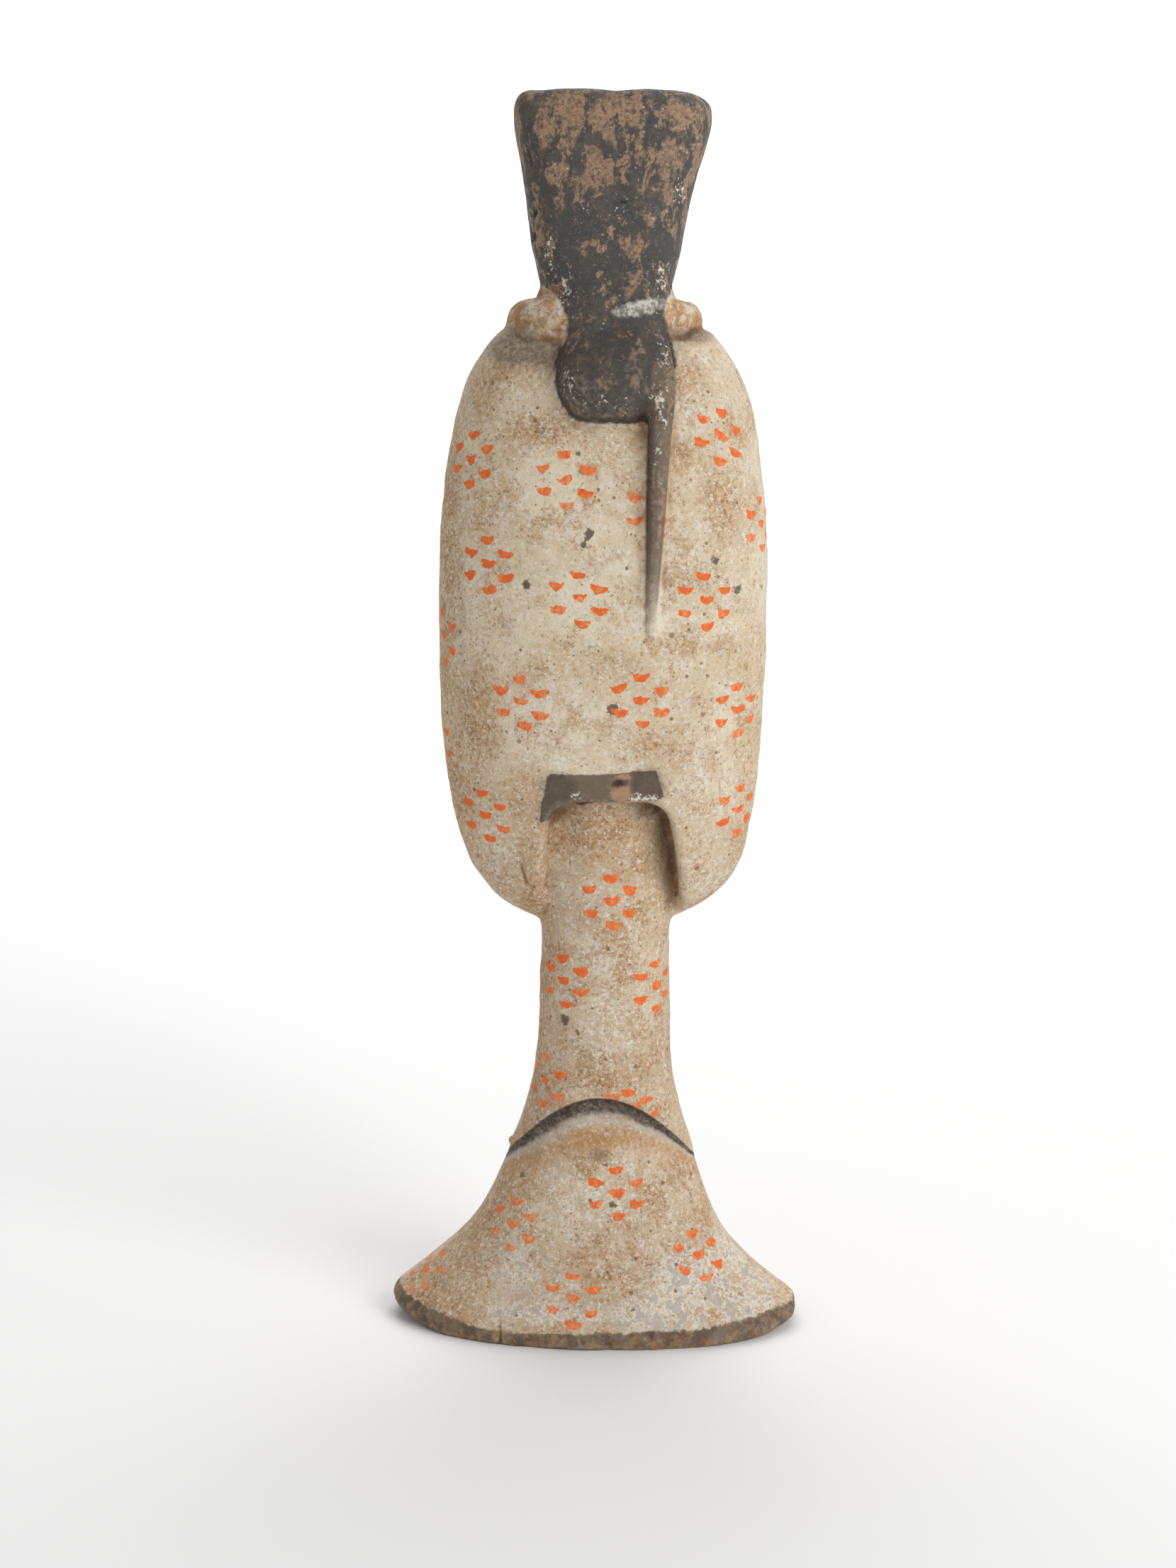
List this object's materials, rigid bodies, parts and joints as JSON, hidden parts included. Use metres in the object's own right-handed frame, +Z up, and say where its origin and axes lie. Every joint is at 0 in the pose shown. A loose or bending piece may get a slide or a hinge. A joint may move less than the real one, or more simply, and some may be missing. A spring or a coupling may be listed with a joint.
{
  "type": "female attendant figure",
  "caption": "Standing attendant in a flared robe with wide joined sleeves and hair looped low at the nape, hollow painted earthenware.",
  "frame": {"origin": "on the ground under the middle of the figure's box", "axes": "+Z up, the face looks towards -Y, the figure's left arm is at +X"},
  "size_m": [0.1714, 0.1158, 0.503],
  "materials": {
    "painted_earthenware": "matte white slip over fired clay, with worn black, brown and orange paint"
  },
  "bodies": {
    "root": {"attendant_figure": "painted_earthenware"}
  },
  "joints": []
}
